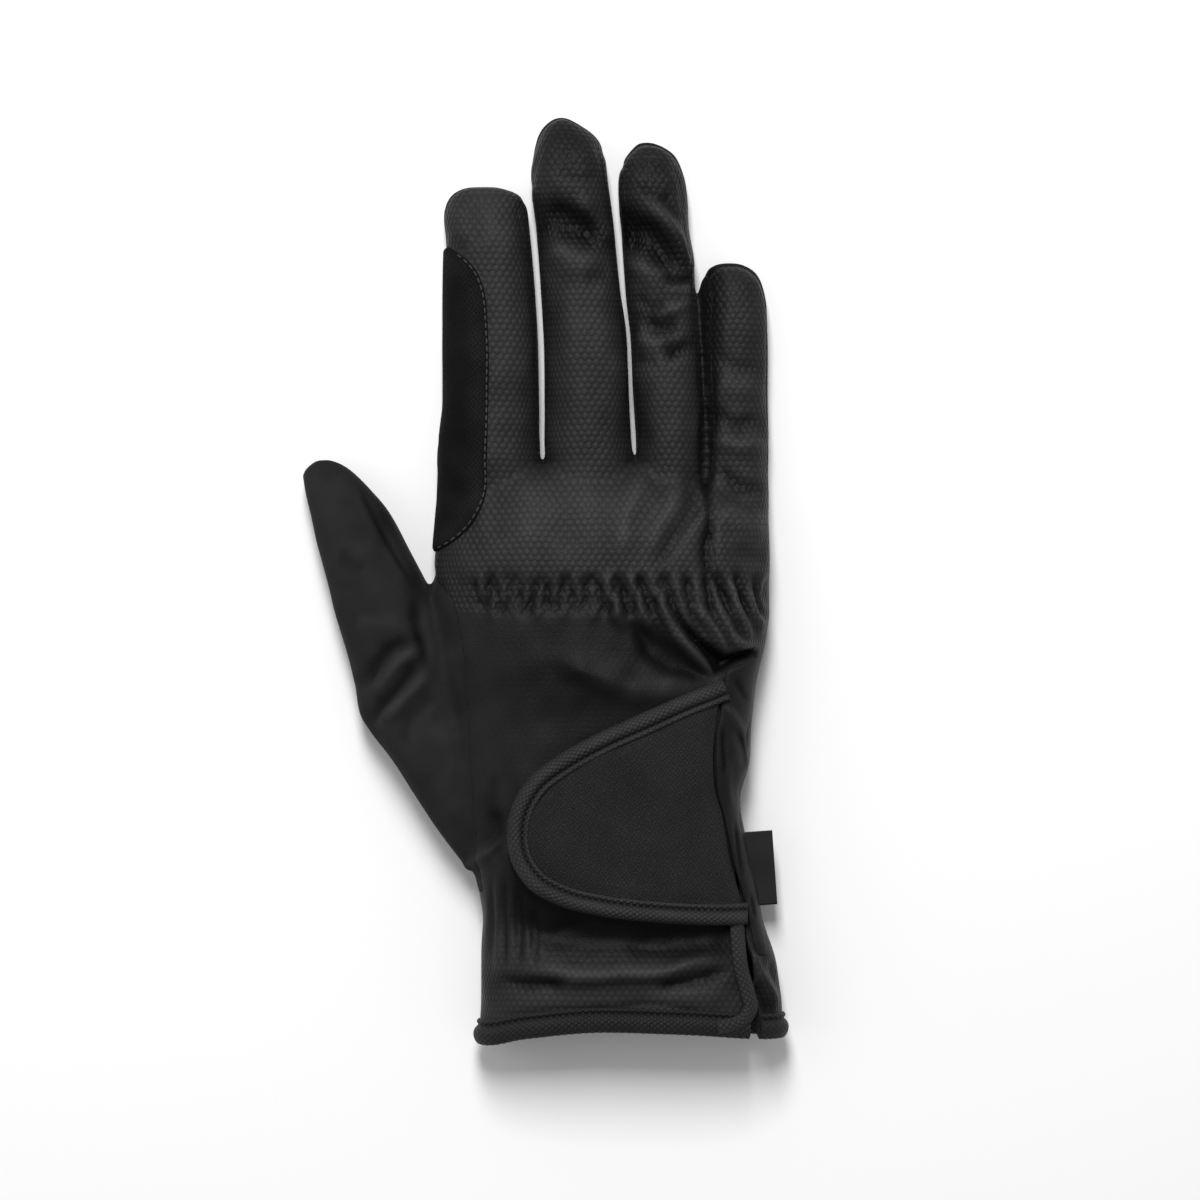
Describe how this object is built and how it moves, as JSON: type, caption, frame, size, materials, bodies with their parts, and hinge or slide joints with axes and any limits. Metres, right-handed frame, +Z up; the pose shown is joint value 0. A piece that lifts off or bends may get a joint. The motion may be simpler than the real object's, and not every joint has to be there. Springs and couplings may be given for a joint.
{
  "type": "horse riding glove",
  "caption": "Right-hand riding glove in black mesh and suede, with gathered knuckles, patched index finger and a closure tab over the wrist slit.",
  "frame": {"origin": "centre of the bounding box at its lowest plane, the surface the palm lies on", "axes": "+Z up out of the back of the hand, +Y towards the fingertips, +X towards the little finger"},
  "size_m": [0.1212, 0.2318, 0.031],
  "materials": {
    "embossed_mesh": "matt black stretch mesh with a small honeycomb emboss",
    "suede": "matt black synthetic suede with a fine grain",
    "patch_suede": "darker matt black suede with grey edge stitching",
    "tab_knit": "fine black spacer knit",
    "binding_mesh": "black mesh binding, rolled and stitched",
    "hook_tape": "black hook and loop tape",
    "label_ribbon": "bare black woven ribbon"
  },
  "bodies": {
    "root": {"back_panel": "embossed_mesh", "side_panel": "embossed_mesh", "palm_panel": "suede", "thumb_panel": "suede", "fourchette_index_middle": "embossed_mesh", "fourchette_middle_ring": "embossed_mesh", "fourchette_ring_little": "embossed_mesh", "index_patch": "patch_suede", "closure_tab": "tab_knit", "tab_binding": "binding_mesh", "hook_pad": "hook_tape", "side_strip": "binding_mesh", "hem_binding": "binding_mesh", "loop_label": "label_ribbon"}
  },
  "joints": []
}
